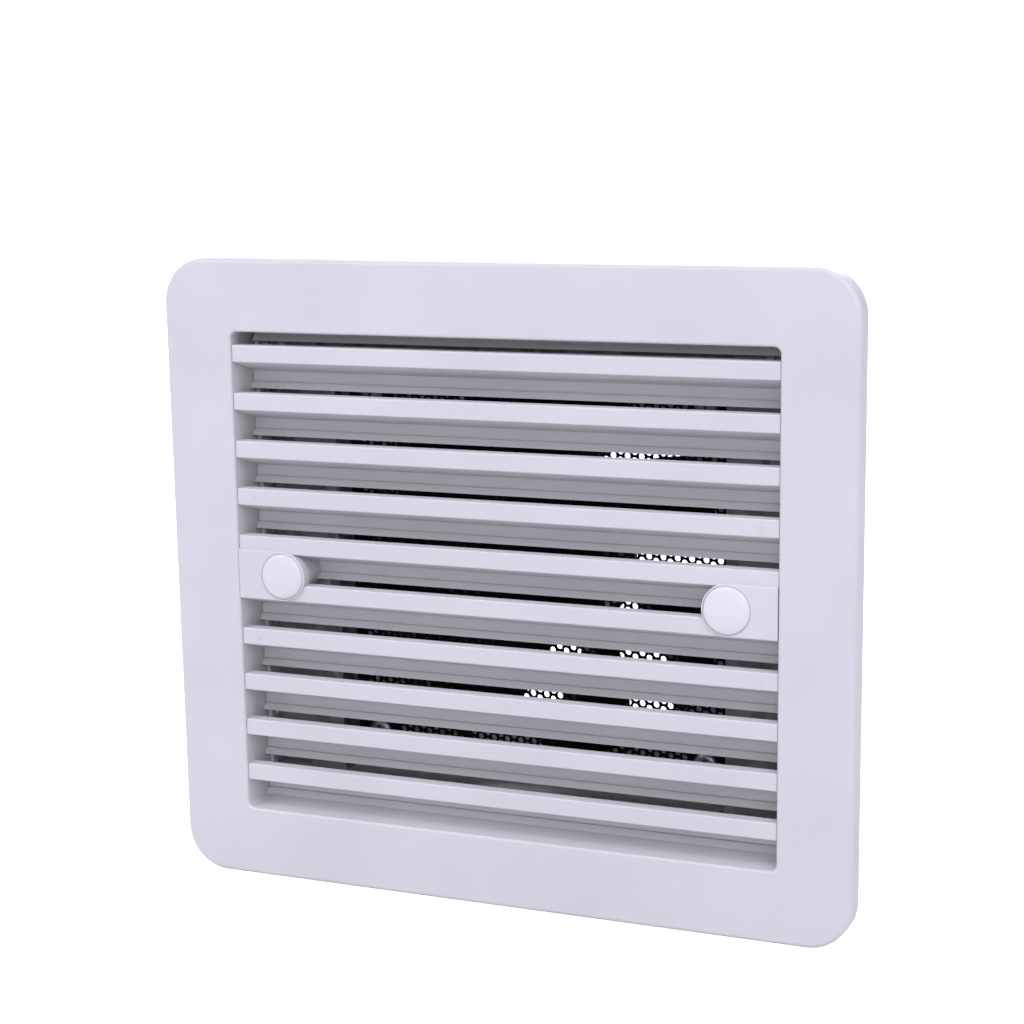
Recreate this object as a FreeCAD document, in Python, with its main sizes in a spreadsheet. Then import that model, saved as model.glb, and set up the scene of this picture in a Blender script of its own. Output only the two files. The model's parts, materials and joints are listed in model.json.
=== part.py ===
import FreeCAD, Part
import math
import os
from types import SimpleNamespace

import Sketcher

# Louvred wall vent for a caravan with a 120 mm fan behind it. Lengths in millimetres.
# +Z is up, the front faces -Y, and the origin is the centre of the wall cut-out in the
# plane of the wall's outer surface. A "depth" is measured inwards (+Y) from the front face.
SIZES = {
    # front frame
    "frame_width": 209.2,
    "frame_height": 185.2,
    "frame_corner": 13.0,
    "rim_depth": 6.5,
    "rim_round": 1.3,
    "rim_wall": 2.5,
    "gasket_proud": 1.5,
    "opening_width": 166.0,
    "opening_height": 143.5,
    "opening_corner": 2.0,
    "opening_round": 0.8,
    "sleeve_wall": 2.5,
    "sleeve_depth": 21.8,
    "sill_front": 1.2,
    "sill_crest": 10.5,
    "sill_back": 15.5,
    "sill_rise": 1.4,
    "sill_gap": 0.05,
    "boss_x": 78.0,
    "boss_z": 66.7,
    "boss_half": 4.0,
    "boss_depth": 16.4,
    "pilot_radius": 1.8,
    "lug_inner": 62.0,
    "lug_half": 6.0,
    "lug_depth": 17.3,
    "wall_hole_radius": 2.25,
    "wall_hole_depth": 19.0,
    "wall_hole_z": 45.0,
    # louvre insert
    "insert_gap": 0.15,
    "slat_pitch": 14.0,
    "slat_drop": 8.75,
    "nose_recess": 0.8,
    "nose_height": 4.9,
    "nose_depth": 4.0,
    "nose_round": 0.5,
    "nose_edge": 0.4,
    "web_slope": 0.314,
    "web_thick": 1.9,
    "strip_depth": 12.0,
    "strip_back": 13.8,
    "strip_lip_depth": 9.9,
    "strip_lip_drop": 8.7,
    "strip_heel": 0.3,
    "strip_groove": 0.35,
    "end_rib_wall": 1.2,
    "end_rib_front": 13.9,
    "end_rib_back": 16.1,
    "tab_radius": 7.35,
    "tab_z": 0.4,
    "tab_thick": 3.0,
    "tab_edge": 0.4,
    "post_radius": 7.2,
    "post_back": 16.9,
    "post_taper": 5.0,
    "cap_x": 68.5,
    "cap_radius": 6.7,
    "cap_rise": 1.1,
    "cap_edge": 1.5,
    "cap_recess": 1.5,
    "cap_skirt_radius": 5.45,
    "cap_skirt_wall": 0.95,
    "cap_skirt_end": 4.1,
    "cap_gap": 0.05,
    "dot_radius": 0.7,
    "dot_proud": 0.2,
    "dot_x": 77.7,
    "dot_rise": 2.3,
    # insert screws
    "insert_head_front": 4.5,
    "insert_head_radius": 3.9,
    "insert_head_height": 2.4,
    "insert_shank_radius": 1.95,
    "insert_shank_length": 13.2,
    "insert_hole_radius": 2.2,
    # fan pan
    "sheet": 1.0,
    "well_width": 122.0,
    "well_height": 127.0,
    "well_corner": 2.0,
    "well_back": 32.7,
    "air_radius": 58.5,
    "pan_screw_radius": 1.75,
    "pan_screw_length": 6.0,
    "pan_head_radius": 3.3,
    "pan_head_height": 2.2,
    # fan guard
    "guard_width": 121.2,
    "guard_height": 126.2,
    "guard_thick": 0.8,
    "guard_hole_radius": 3.6,
    "guard_hole_pitch": 9.0,
    # fan housing
    "fan_size": 119.6,
    "fan_corner": 6.0,
    "fan_depth": 25.0,
    "fan_bore_radius": 57.6,
    "fan_shroud_radius": 59.5,
    "fan_flange": 4.0,
    "fan_hole_spacing": 105.0,
    "fan_hole_radius": 2.25,
    "fan_screw_radius": 2.0,
    "fan_screw_length": 34.0,
    "fan_head_radius": 4.0,
    "fan_head_height": 2.6,
    "washer_radius": 4.5,
    "washer_thick": 0.8,
    "nut_flats": 7.0,
    "nut_height": 3.2,
    "strut_width": 4.5,
    "strut_depth": 4.0,
    "strut_phase": 18.0,
    "motor_base_radius": 21.0,
    "motor_base_thick": 2.5,
    # rotor, depths from the front of the fan housing
    "blade_tip_radius": 56.6,
    "blade_thick": 1.6,
    "blade_front": 3.2,
    "blade_back": 19.4,
    "blade_bulge": 2.0,
    "blade_span": 40.0,
    "blade_sweep": 0.8,
    "sweep_radius": 45.0,
    "rotor_phase": 29.0,
    "hub_radius": 20.0,
    "hub_wall": 1.35,
    "hub_front": 2.0,
    "hub_top": 1.9,
    "hub_back": 20.3,
    "cup_radius": 18.6,
    "cup_wall": 1.0,
    "cup_back": 19.5,
    "magnet_inner": 15.4,
    "magnet_front": 7.8,
    "magnet_back": 18.8,
    "shaft_radius": 1.5,
    "shaft_back": 23.1,
    "clip_radius": 2.8,
    "clip_front": 21.7,
    "clip_thick": 0.4,
    # stator, depths from the front of the fan housing
    "tube_radius": 5.2,
    "bearing_radius": 4.0,
    "tube_front": 7.3,
    "tube_back": 24.0,
    "bearing_length": 4.0,
    "bearing_bore": 1.55,
    "front_bearing": 7.9,
    "rear_bearing": 17.3,
    "spring_radius": 2.9,
    "spring_wire": 0.3,
    "spring_turns": 4.0,
    "stack_front": 10.8,
    "stack_back": 17.8,
    "pole_radius": 14.4,
    "pole_inner": 12.7,
    "core_radius": 7.2,
    "arm_width": 3.0,
    "bobbin_thick": 0.8,
    "bobbin_width": 3.6,
    "coil_inner": 8.2,
    "coil_outer": 12.2,
    "coil_side": 1.7,
    "coil_end": 1.0,
    "board_radius": 16.5,
    "board_thick": 1.2,
    "sensor_radius": 15.55,
    "sensor_length": 2.7,
    "sensor_width": 4.0,
    "label_radius": 17.0,
    "label_thick": 0.2,
    # terminal block
    "terminal_x": 73.2,
    "terminal_z": 20.0,
    "terminal_width": 14.0,
    "terminal_height": 22.0,
    "terminal_depth": 12.0,
    "terminal_pitch": 12.0,
    "terminal_wire_radius": 1.7,
    "terminal_well_radius": 2.4,
    "terminal_screw_radius": 2.3,
    "terminal_fixing_radius": 1.5,
}


class Dim:
    """A number that also knows the sheet expression it comes from."""

    def __init__(self, value, text):
        self.value = float(value)
        self.text = text

    def __add__(self, other):
        return Dim(self.value + number(other), f"({self.text} + {text(other)})")

    def __sub__(self, other):
        return Dim(self.value - number(other), f"({self.text} - {text(other)})")

    def __mul__(self, other):
        return Dim(self.value * number(other), f"({self.text} * {text(other)})")

    def __truediv__(self, other):
        return Dim(self.value / number(other), f"({self.text} / {text(other)})")

    def __neg__(self):
        return self * -1.0

    def __radd__(self, other):
        return self + other

    def __rsub__(self, other):
        return -self + other

    def __rmul__(self, other):
        return self * other


def number(value):
    return value.value if isinstance(value, Dim) else float(value)


def text(value):
    return value.text if isinstance(value, Dim) else f"({float(value)!r})"


def make_sheet(doc):
    sheet = doc.addObject("Spreadsheet::Sheet", "Sizes")
    for row, (alias, value) in enumerate(SIZES.items(), start=1):
        sheet.set(f"A{row}", str(value))
        sheet.setAlias(f"A{row}", alias)
    doc.recompute()
    return SimpleNamespace(**{alias: Dim(sheet.get(alias), f"Sizes.{alias}") for alias in SIZES})


DOC = FreeCAD.newDocument("Vent")
S = make_sheet(DOC)
PARTS = []

FRONT = -(S.rim_depth + S.gasket_proud)      # Y of the frame's front face
FAN_FRONT = FRONT + S.well_back              # Y of the fan housing's front face
INSERT_WIDTH = S.opening_width - S.insert_gap * 2
FIRST_NOSE = S.opening_height / 2 - S.slat_drop   # Z of the top slat's lower edge
SLATS = 10
HOLE_OFFSET = S.fan_hole_spacing / 2


def at_depth(depth):
    """Y of a depth behind the frame's front face."""
    return FRONT + depth


def in_fan(depth):
    """Y of a depth behind the fan housing's front face."""
    return FAN_FRONT + depth


# ---------------------------------------------------------------- object helpers

def keep(obj, label):
    """Name a finished sub-part and put it on the list of files to write."""
    obj.Label = label
    PARTS.append(obj)
    return obj


def bind(obj, name, value):
    obj.setExpression(name, text(value))


def move(obj, x, y, z):
    for axis, value in (("x", x), ("y", y), ("z", z)):
        bind(obj, f"Placement.Base.{axis}", value)


def box(name, x, y, z, centred_x=True, centred_z=True):
    """A box from (low, size) or (centre, size) pairs; y is (front, back)."""
    obj = DOC.addObject("Part::Box", name)
    bind(obj, "Length", x[1])
    bind(obj, "Width", y[1] - y[0])
    bind(obj, "Height", z[1])
    low_x = x[0] - x[1] / 2 if centred_x else x[0]
    low_z = z[0] - z[1] / 2 if centred_z else z[0]
    move(obj, low_x, y[0], low_z)
    return obj


def rod(name, radius, y, x=0.0, z=0.0):
    """A cylinder along Y from y[0] to y[1]."""
    obj = DOC.addObject("Part::Cylinder", name)
    bind(obj, "Radius", radius)
    bind(obj, "Height", y[1] - y[0])
    obj.Placement = FreeCAD.Placement(FreeCAD.Vector(), FreeCAD.Rotation(FreeCAD.Vector(1, 0, 0), -90))
    move(obj, x, y[0], z)
    return obj


def cone(name, radii, y, x=0.0, z=0.0):
    """A frustum along Y: radii and y both run from the front end to the back end."""
    obj = DOC.addObject("Part::Cone", name)
    bind(obj, "Radius1", radii[0])
    bind(obj, "Radius2", radii[1])
    bind(obj, "Height", y[1] - y[0])
    obj.Placement = FreeCAD.Placement(FreeCAD.Vector(), FreeCAD.Rotation(FreeCAD.Vector(1, 0, 0), -90))
    move(obj, x, y[0], z)
    return obj


def fuse(name, shapes):
    obj = DOC.addObject("Part::MultiFuse", name)
    obj.Shapes = shapes
    return obj


def cut(name, base, *tools):
    obj = DOC.addObject("Part::Cut", name)
    obj.Base = base
    obj.Tool = tools[0] if len(tools) == 1 else fuse(f"{name}_tools", list(tools))
    return obj


def group(name, shapes):
    """Several separate solids that share one node."""
    obj = DOC.addObject("Part::Compound", name)
    obj.Links = shapes
    return obj


def ring(name, outer, inner, y, x=0.0, z=0.0):
    return cut(name, rod(f"{name}_outer", outer, y, x, z), rod(f"{name}_inner", inner, y, x, z))


# ---------------------------------------------------------------- sketch helpers

def new_body(name):
    body = DOC.addObject("PartDesign::Body", name)
    DOC.recompute()
    return body


def origin_plane(body, role):
    return next(item for item in body.Origin.OriginFeatures if item.Role == role)


def front_sketch(body, name, y):
    """A sketch parallel to the front face at a given Y: its own x and y are X and Z."""
    sketch = body.newObject("Sketcher::SketchObject", name)
    sketch.AttachmentSupport = [(origin_plane(body, "XZ_Plane"), "")]
    sketch.MapMode = "FlatFace"
    bind(sketch, "AttachmentOffset.Base.z", -y)
    return sketch


def side_sketch(body, name):
    """A sketch in the plane X = 0: its own x and y are Y and Z."""
    sketch = body.newObject("Sketcher::SketchObject", name)
    sketch.AttachmentSupport = [(origin_plane(body, "YZ_Plane"), "")]
    sketch.MapMode = "FlatFace"
    return sketch


def constrain(sketch, kind, where, value):
    """Add a driving constraint whose value is bound to the sheet."""
    index = sketch.addConstraint(Sketcher.Constraint(kind, *where, number(value)))
    sketch.renameConstraint(index, f"size{index}")
    bind(sketch, f"Constraints.size{index}", value)


def pin(sketch, geometry, point, u, v):
    constrain(sketch, "DistanceX", (-1, 1, geometry, point), u)
    constrain(sketch, "DistanceY", (-1, 1, geometry, point), v)


def add_circle(sketch, u, v, radius):
    centre = FreeCAD.Vector(number(u), number(v), 0)
    circle = sketch.addGeometry(Part.Circle(centre, FreeCAD.Vector(0, 0, 1), number(radius)))
    pin(sketch, circle, 3, u, v)
    constrain(sketch, "Radius", (circle,), radius)


def add_polygon(sketch, points):
    corners = [FreeCAD.Vector(number(u), number(v), 0) for u, v in points]
    count = len(corners)
    lines = []
    for index, corner in enumerate(corners):
        line = Part.LineSegment(corner, corners[(index + 1) % count])
        lines.append(sketch.addGeometry(line))
    for index, line in enumerate(lines):
        sketch.addConstraint(Sketcher.Constraint("Coincident", line, 2, lines[(index + 1) % count], 1))
        pin(sketch, line, 1, *points[index])


def add_rectangle(sketch, u, v):
    """A rectangle from its (low, high) pairs."""
    add_polygon(sketch, [(u[0], v[0]), (u[1], v[0]), (u[1], v[1]), (u[0], v[1])])


def add_rounded_rectangle(sketch, width, height, radius):
    """A rounded rectangle centred on the sketch's origin."""
    half_u = number(width) / 2
    half_v = number(height) / 2
    inset = number(radius)
    flat_u = half_u - inset
    flat_v = half_v - inset
    sides = [((-flat_u, -half_v), (flat_u, -half_v)), ((half_u, -flat_v), (half_u, flat_v)),
             ((flat_u, half_v), (-flat_u, half_v)), ((-half_u, flat_v), (-half_u, -flat_v))]
    lines = []
    for start, end in sides:
        line = Part.LineSegment(FreeCAD.Vector(*start, 0), FreeCAD.Vector(*end, 0))
        lines.append(sketch.addGeometry(line))
    centres = [(flat_u, -flat_v), (flat_u, flat_v), (-flat_u, flat_v), (-flat_u, -flat_v)]
    arcs = []
    for index, centre in enumerate(centres):
        circle = Part.Circle(FreeCAD.Vector(*centre, 0), FreeCAD.Vector(0, 0, 1), inset)
        start = (index - 1) * math.pi / 2
        arcs.append(sketch.addGeometry(Part.ArcOfCircle(circle, start, start + math.pi / 2)))
    for index in range(4):
        sketch.addConstraint(Sketcher.Constraint("Tangent", lines[index], 2, arcs[index], 1))
        sketch.addConstraint(Sketcher.Constraint("Tangent", arcs[index], 2, lines[(index + 1) % 4], 1))
        sketch.addConstraint(Sketcher.Constraint("Vertical" if index % 2 else "Horizontal", lines[index]))
    for arc in arcs[1:]:
        sketch.addConstraint(Sketcher.Constraint("Equal", arcs[0], arc))
    constrain(sketch, "Radius", (arcs[0],), radius)
    constrain(sketch, "DistanceY", (-1, 1, lines[0], 1), -height / 2)
    constrain(sketch, "DistanceX", (-1, 1, lines[1], 1), width / 2)
    constrain(sketch, "DistanceY", (-1, 1, lines[2], 1), height / 2)
    constrain(sketch, "DistanceX", (-1, 1, lines[3], 1), -width / 2)


def add_tab_outline(sketch, side):
    """A tab from the insert's end to a half-round end about the cap; side is -1 or 1."""
    centre = FreeCAD.Vector(side * number(S.cap_x), number(S.tab_z), 0)
    radius = number(S.tab_radius)
    end = side * number(INSERT_WIDTH) / 2
    top = centre.y + radius
    bottom = centre.y - radius
    upper = Part.LineSegment(FreeCAD.Vector(end, top, 0), FreeCAD.Vector(centre.x, top, 0))
    lower = Part.LineSegment(FreeCAD.Vector(centre.x, bottom, 0), FreeCAD.Vector(end, bottom, 0))
    closing = Part.LineSegment(FreeCAD.Vector(end, bottom, 0), FreeCAD.Vector(end, top, 0))
    circle = Part.Circle(centre, FreeCAD.Vector(0, 0, 1), radius)
    start = math.pi / 2 if side > 0 else -math.pi / 2
    arc = Part.ArcOfCircle(circle, start, start + math.pi)
    upper, lower, closing, arc = [sketch.addGeometry(item) for item in (upper, lower, closing, arc)]
    arc_top, arc_bottom = (1, 2) if side > 0 else (2, 1)
    sketch.addConstraint(Sketcher.Constraint("Tangent", upper, 2, arc, arc_top))
    sketch.addConstraint(Sketcher.Constraint("Tangent", arc, arc_bottom, lower, 1))
    sketch.addConstraint(Sketcher.Constraint("Coincident", lower, 2, closing, 1))
    sketch.addConstraint(Sketcher.Constraint("Coincident", closing, 2, upper, 1))
    sketch.addConstraint(Sketcher.Constraint("Horizontal", upper))
    sketch.addConstraint(Sketcher.Constraint("Vertical", closing))
    pin(sketch, arc, 3, S.cap_x * side, S.tab_z)
    constrain(sketch, "Radius", (arc,), S.tab_radius)
    constrain(sketch, "DistanceX", (-1, 1, closing, 1), INSERT_WIDTH / 2 * side)


def pad(body, sketch, length, symmetric=False, inwards=False):
    """Pad a front sketch towards -Y (or +Y, inwards), or a side sketch both ways along X."""
    feature = body.newObject("PartDesign::Pad", f"{sketch.Name}_pad")
    feature.Profile = sketch
    bind(feature, "Length", length)
    if symmetric:
        feature.SideType = "Symmetric"
    feature.Reversed = inwards
    DOC.recompute()
    return feature


def pocket(body, sketch, length, symmetric=False, outwards=False):
    """Cut a front sketch towards +Y (or -Y, outwards), or a side sketch both ways along X."""
    before = body.Shape.Volume
    feature = body.newObject("PartDesign::Pocket", f"{sketch.Name}_pocket")
    feature.Profile = sketch
    bind(feature, "Length", length)
    if symmetric:
        feature.SideType = "Symmetric"
    feature.Reversed = outwards
    DOC.recompute()
    if body.Shape.Volume >= before:
        raise RuntimeError(f"{feature.Name} cuts nothing")
    return feature


def fillet_at(body, y, radius, wanted):
    """Round the tip's edges that lie wholly at one Y and that wanted(edge) accepts."""
    DOC.recompute()
    base = body.Tip
    names = []
    for index, edge in enumerate(base.Shape.Edges, start=1):
        bounds = edge.BoundBox
        if max(abs(bounds.YMin - number(y)), abs(bounds.YMax - number(y))) < 1e-4 and wanted(edge):
            names.append(f"Edge{index}")
    feature = body.newObject("PartDesign::Fillet", f"{body.Name}_round{len(body.Group)}")
    feature.Base = (base, names)
    bind(feature, "Radius", radius)
    DOC.recompute()
    return feature


def corners(x, z):
    """The four (x, z) corners of a centred rectangle."""
    return [(x * side_x, z * side_z) for side_x in (-1, 1) for side_z in (-1, 1)]


def turned_box(name, radial, across, y, angle):
    """A box lying along a spoke at an angle from +X towards +Z."""
    obj = DOC.addObject("Part::Box", name)
    bind(obj, "Length", radial[1] - radial[0])
    bind(obj, "Width", y[1] - y[0])
    bind(obj, "Height", across)
    obj.Placement = FreeCAD.Placement(FreeCAD.Vector(), FreeCAD.Rotation(FreeCAD.Vector(0, -1, 0), angle))
    cosine = math.cos(math.radians(angle))
    sine = math.sin(math.radians(angle))
    half = across / 2
    move(obj, radial[0] * cosine + half * sine, y[0], radial[0] * sine - half * cosine)
    return obj


def cross_head(name, radius, y, x, z):
    """A pan head from y[0] (its crown) to y[1] (its seat), with a cross recess in the crown."""
    edge = (y[1] - y[0]) * 0.4
    crown = cone(f"{name}_crown", (radius * 0.72, radius), (y[0], y[0] + edge), x, z)
    rim = rod(f"{name}_rim", radius, (y[0] + edge, y[1]), x, z)
    sink = (y[0] - 0.1, y[0] + (y[1] - y[0]) * 0.55)
    bars = [box(f"{name}_bar_x", (x, radius), sink, (z, radius * 0.24)),
            box(f"{name}_bar_z", (x, radius * 0.24), sink, (z, radius))]
    return cut(f"{name}_head", fuse(f"{name}_solid", [crown, rim]), *bars)


# ---------------------------------------------------------------- casings

def front_frame():
    body = new_body("front_frame_body")
    outline = front_sketch(body, "rim", -S.gasket_proud)
    add_rounded_rectangle(outline, S.frame_width, S.frame_height, S.frame_corner)
    pad(body, outline, S.rim_depth)
    fillet_at(body, FRONT, S.rim_round, lambda edge: True)
    hollow = front_sketch(body, "rim_hollow", -S.gasket_proud)
    skirt = S.rim_wall * 2
    sleeve_width = S.opening_width + S.sleeve_wall * 2
    sleeve_height = S.opening_height + S.sleeve_wall * 2
    add_rounded_rectangle(hollow, S.frame_width - skirt, S.frame_height - skirt, S.frame_corner - S.rim_wall)
    add_rounded_rectangle(hollow, sleeve_width, sleeve_height, S.opening_corner + S.sleeve_wall)
    pocket(body, hollow, S.rim_depth - S.rim_wall, outwards=True)
    sleeve = front_sketch(body, "sleeve", at_depth(S.sleeve_depth))
    add_rounded_rectangle(sleeve, sleeve_width, sleeve_height, S.opening_corner + S.sleeve_wall)
    pad(body, sleeve, S.sleeve_depth - S.rim_wall)
    opening = front_sketch(body, "opening", FRONT)
    add_rounded_rectangle(opening, S.opening_width, S.opening_height, S.opening_corner)
    pocket(body, opening, S.sleeve_depth)
    limit = number(S.opening_width) / 2 + 0.1
    fillet_at(body, FRONT, S.opening_round, lambda edge: edge.BoundBox.XMax < limit and edge.BoundBox.XMin > -limit)
    frame_sill(body)
    frame_bosses(body)
    frame_wall_holes(body)
    keep(body, "front_frame")


def frame_sill(body):
    """The opening's floor curves up inwards, so that rain runs out over the front edge."""
    floor = -S.opening_height / 2
    under = floor - 0.5
    crest = floor + S.sill_rise
    reach = S.sill_crest - S.sill_front
    radius = (reach * reach + S.sill_rise * S.sill_rise) / (S.sill_rise * 2)
    front = at_depth(S.sill_front)
    back = at_depth(S.sill_back)
    sill = side_sketch(body, "sill")
    points = [(at_depth(S.sill_crest), crest), (back, crest), (back, under), (front, under), (front, floor)]
    places = [FreeCAD.Vector(number(u), number(v), 0) for u, v in points]
    lines = [sill.addGeometry(Part.LineSegment(*pair)) for pair in zip(places, places[1:])]
    circle = Part.Circle(places[4] + FreeCAD.Vector(0, number(radius), 0), FreeCAD.Vector(0, 0, 1), number(radius))
    turn = math.asin(number(reach) / number(radius))
    curve = sill.addGeometry(Part.ArcOfCircle(circle, -math.pi / 2, turn - math.pi / 2))
    for index, line in enumerate(lines):
        following = (lines[index + 1], 1) if index < 3 else (curve, 1)
        sill.addConstraint(Sketcher.Constraint("Coincident", line, 2, *following))
        pin(sill, line, 1, *points[index])
    sill.addConstraint(Sketcher.Constraint("Coincident", curve, 2, lines[0], 1))
    pin(sill, lines[3], 2, *points[4])
    constrain(sill, "Radius", (curve,), radius)
    pad(body, sill, S.opening_width + 1.0, symmetric=True)


def frame_bosses(body):
    """Corner blocks for the pan's screws and side lugs for the insert's screws."""
    reach_x = S.opening_width / 2 + 0.5
    reach_z = S.opening_height / 2 + 0.5
    blocks = front_sketch(body, "boss_blocks", at_depth(S.sleeve_depth))
    for side_x in (-1, 1):
        for side_z in (-1, 1):
            across = sorted([(S.boss_x - S.boss_half) * side_x, reach_x * side_x], key=number)
            upright = sorted([(S.boss_z - S.boss_half) * side_z, reach_z * side_z], key=number)
            add_rectangle(blocks, across, upright)
    pad(body, blocks, S.sleeve_depth - S.boss_depth)
    lugs = front_sketch(body, "lugs", at_depth(S.sleeve_depth))
    for side in (-1, 1):
        across = sorted([S.lug_inner * side, reach_x * side], key=number)
        add_rectangle(lugs, across, (S.tab_z - S.lug_half, S.tab_z + S.lug_half))
    pad(body, lugs, S.sleeve_depth - S.lug_depth)
    pilots = front_sketch(body, "boss_pilots", at_depth(S.sleeve_depth))
    for x, z in corners(S.boss_x, S.boss_z):
        add_circle(pilots, x, z, S.pilot_radius)
    pocket(body, pilots, S.sleeve_depth - S.boss_depth + 0.5, outwards=True)
    nuts = front_sketch(body, "lug_holes", at_depth(S.lug_depth))
    for side in (-1, 1):
        add_circle(nuts, S.cap_x * side, S.tab_z, S.insert_shank_radius + 0.05)
    pocket(body, nuts, S.sleeve_depth - S.lug_depth)


def frame_wall_holes(body):
    """Two holes through each side of the sleeve, for screws into the wall's framing."""
    holes = side_sketch(body, "wall_holes")
    for side in (-1, 1):
        add_circle(holes, at_depth(S.wall_hole_depth), S.wall_hole_z * side, S.wall_hole_radius)
    pocket(body, holes, S.frame_width, symmetric=True)


def frame_gasket():
    """Foam seal in the hollow behind the rim; its back face lies on the wall."""
    body = new_body("frame_gasket_body")
    outline = front_sketch(body, "seal", 0.0 * S.sheet)
    margin = S.rim_wall * 2 + 1.0
    add_rounded_rectangle(outline, S.frame_width - margin, S.frame_height - margin, S.frame_corner - S.rim_wall)
    hole = S.sleeve_wall * 2 + 3.0
    add_rounded_rectangle(outline, S.opening_width + hole, S.opening_height + hole, S.opening_corner + 4.0)
    pad(body, outline, S.rim_depth - S.rim_wall + S.gasket_proud)
    keep(body, "frame_gasket")


# ---------------------------------------------------------------- louvre insert

def slat_outline(bottom, lip_drop, heel):
    """Section of one slat: rounded nose, a web sloping inwards and down, and a grooved rain strip."""
    nose = at_depth(S.nose_recess)
    strip = nose + S.strip_depth - 0.25
    chamfer_top = bottom - lip_drop + 1.75
    return [
        (nose, bottom),
        (nose + S.strip_depth, bottom - S.strip_depth * S.web_slope),
        (strip, chamfer_top + S.strip_groove),
        (strip + S.strip_groove, chamfer_top + S.strip_groove),
        (strip + S.strip_groove, chamfer_top),
        (strip - S.strip_groove, chamfer_top),
        (nose + S.strip_lip_depth, bottom - lip_drop),
        (nose + S.strip_lip_depth + 1.8, bottom - lip_drop - heel),
        (nose + S.strip_back, bottom - S.strip_depth * S.web_slope - 0.5),
        (nose + S.strip_back, bottom - S.strip_back * S.web_slope + S.web_thick),
        (nose + S.nose_depth, bottom - S.nose_depth * S.web_slope + S.web_thick),
        (nose + S.nose_depth, bottom + S.nose_height),
        (nose, bottom + S.nose_height),
    ]


def louvre_insert():
    body = new_body("louvre_insert_body")
    slat = side_sketch(body, "slat")
    outline = slat_outline(FIRST_NOSE, S.strip_lip_drop, S.strip_heel)
    add_polygon(slat, outline)
    first = pad(body, slat, INSERT_WIDTH, symmetric=True)
    pattern = body.newObject("PartDesign::LinearPattern", "slats")
    pattern.Originals = [first]
    pattern.Direction = (origin_plane(body, "Z_Axis"), [""])
    pattern.Reversed = True
    bind(pattern, "Length", S.slat_pitch * (SLATS - 2))
    pattern.Occurrences = SLATS - 1
    body.Tip = pattern
    DOC.recompute()
    insert_ends(body)
    round_noses(body)
    insert_tabs(body)
    keep(body, "louvre_insert")


def insert_ends(body):
    """The lowest slat, whose strip stops above the sill, the top rail and the end ribs."""
    lowest = side_sketch(body, "lowest_slat")
    last_nose = FIRST_NOSE - S.slat_pitch * (SLATS - 1)
    insert_bottom = -S.opening_height / 2 + S.sill_rise + S.sill_gap
    add_polygon(lowest, slat_outline(last_nose, last_nose - insert_bottom, 0.0))
    pad(body, lowest, INSERT_WIDTH, symmetric=True)
    insert_top = S.opening_height / 2 - S.insert_gap
    nose = at_depth(S.nose_recess)
    lip = FIRST_NOSE + S.slat_pitch - S.strip_lip_drop
    rail = side_sketch(body, "top_rail")
    add_polygon(rail, [(nose + S.strip_lip_depth, lip), (nose + S.strip_lip_depth + 1.8, lip - S.strip_heel),
                       (nose + S.strip_back, insert_top - 0.5), (nose + S.strip_back, insert_top),
                       (nose + S.strip_depth - 0.6, insert_top), (nose + S.strip_depth - 0.6, lip + 1.75)])
    pad(body, rail, INSERT_WIDTH - S.end_rib_wall * 1.7, symmetric=True)
    ribs = front_sketch(body, "end_ribs", at_depth(S.end_rib_back))
    for side in (-1, 1):
        across = sorted([(INSERT_WIDTH / 2 - S.end_rib_wall) * side, INSERT_WIDTH / 2 * side], key=number)
        add_rectangle(ribs, across, (insert_bottom, insert_top - S.opening_corner * 0.7))
    pad(body, ribs, S.end_rib_back - S.end_rib_front)


def round_noses(body):
    """A generous round on each nose's upper front edge and a small one on its lower edge."""
    nose = at_depth(S.nose_recess)
    for radius, height in ((S.nose_round, number(S.nose_height)), (S.nose_edge, 0.0)):
        levels = [number(FIRST_NOSE - S.slat_pitch * index) + height for index in range(SLATS)]
        fillet_at(body, nose, radius,
                  lambda edge: any(abs(edge.BoundBox.ZMin - z) < 1e-3 and abs(edge.BoundBox.ZMax - z) < 1e-3
                                   for z in levels))


def insert_tabs(body):
    """Tab and post for each fixing screw, with the cap's seat and the screw's bore."""
    tabs = front_sketch(body, "tabs", at_depth(S.tab_thick))
    for side in (-1, 1):
        add_tab_outline(tabs, side)
    pad(body, tabs, S.tab_thick)
    reach = number(INSERT_WIDTH) / 2 - 0.01
    fillet_at(body, FRONT, S.tab_edge, lambda edge: edge.BoundBox.XMin > -reach and edge.BoundBox.XMax < reach
              or edge.BoundBox.XLength > 0.01)
    posts = front_sketch(body, "posts", at_depth(S.nose_recess))
    for side in (-1, 1):
        add_circle(posts, S.cap_x * side, S.tab_z, S.post_radius)
    tapered = pad(body, posts, S.post_back - S.nose_recess, inwards=True)
    bind(tapered, "TaperAngle", -S.post_taper)
    DOC.recompute()
    bores = [("cap_seats", S.cap_radius + 0.15, S.cap_recess),
             ("head_bores", S.cap_skirt_radius + S.cap_gap, S.insert_head_front + S.insert_head_height),
             ("screw_holes", S.insert_hole_radius, S.post_back)]
    for name, radius, depth in bores:
        sketch = front_sketch(body, name, FRONT)
        for side in (-1, 1):
            add_circle(sketch, S.cap_x * side, S.tab_z, radius)
        pocket(body, sketch, depth)
    dots = front_sketch(body, "mould_dots", at_depth(S.nose_recess))
    for side in (-1, 1):
        for slat in (3, 6):
            add_circle(dots, S.dot_x * side, FIRST_NOSE - S.slat_pitch * slat + S.dot_rise, S.dot_radius)
    pad(body, dots, S.dot_proud)


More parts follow.
